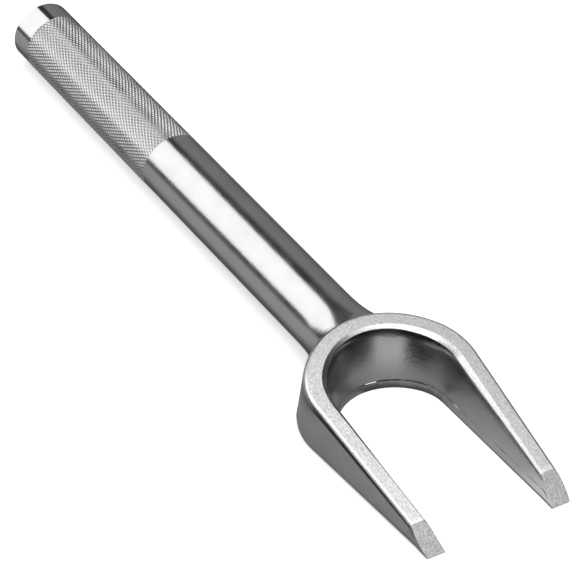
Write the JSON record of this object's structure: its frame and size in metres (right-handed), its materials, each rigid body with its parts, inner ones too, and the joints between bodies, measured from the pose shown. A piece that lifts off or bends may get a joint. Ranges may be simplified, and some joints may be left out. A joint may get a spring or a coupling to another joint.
{
  "type": "ball joint separator",
  "caption": "Wedge fork for parting ball joints, forged on the end of a straight round bar with a knurled grip and a plain striking end.",
  "frame": {"origin": "centre of the striking end's flat face, on the shank's axis", "axes": "+X along the shank towards the fork's tips, +Z towards the wedge face, the flat underside at z = -12.7 mm"},
  "size_m": [0.316, 0.0704, 0.0254],
  "materials": {
    "satin_steel": "satin nickel-chrome plate over forged steel, ground bright on the wedge face"
  },
  "bodies": {
    "root": {"separator_fork": "satin_steel"}
  },
  "joints": []
}
